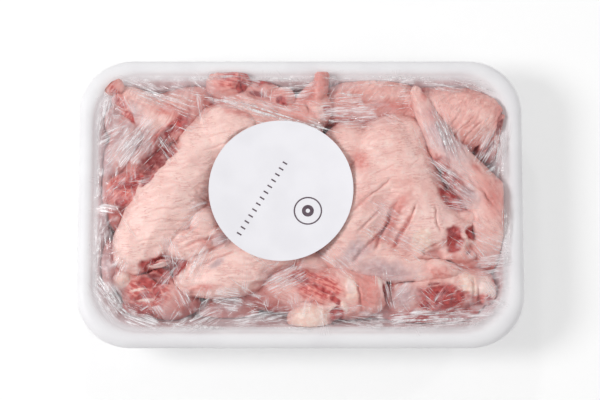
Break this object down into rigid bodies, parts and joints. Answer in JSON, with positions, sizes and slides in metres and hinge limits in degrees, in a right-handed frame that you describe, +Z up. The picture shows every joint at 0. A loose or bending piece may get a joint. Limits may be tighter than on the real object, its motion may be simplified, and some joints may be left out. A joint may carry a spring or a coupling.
{
  "type": "meat tray pack",
  "caption": "Shallow white foam tray of raw chicken wings under clear stretch film, with a round plain white label on top.",
  "frame": {"origin": "middle of the footprint, on the surface that the pack stands on", "axes": "+X along the tray's long side, +Y from the front side to the back side, +Z up"},
  "size_m": [0.2264, 0.1494, 0.0431],
  "materials": {
    "foam": "white expanded foam with a soft skin",
    "chicken": "moist raw chicken skin, pink, with red flesh and pale fat at the cuts",
    "film": "clear stretch film with creases and highlights",
    "label": "smooth white paper with plain dark marks"
  },
  "bodies": {
    "root": {"tray": "foam", "wing_left": "chicken", "wing_right": "chicken", "wing_tip_right": "chicken", "wing_back": "chicken", "wing_front": "chicken", "wing_front_right": "chicken", "wing_corner_left": "chicken", "wing_front_left": "chicken", "wing_back_right": "chicken", "film": "film", "label": "label"}
  },
  "joints": []
}
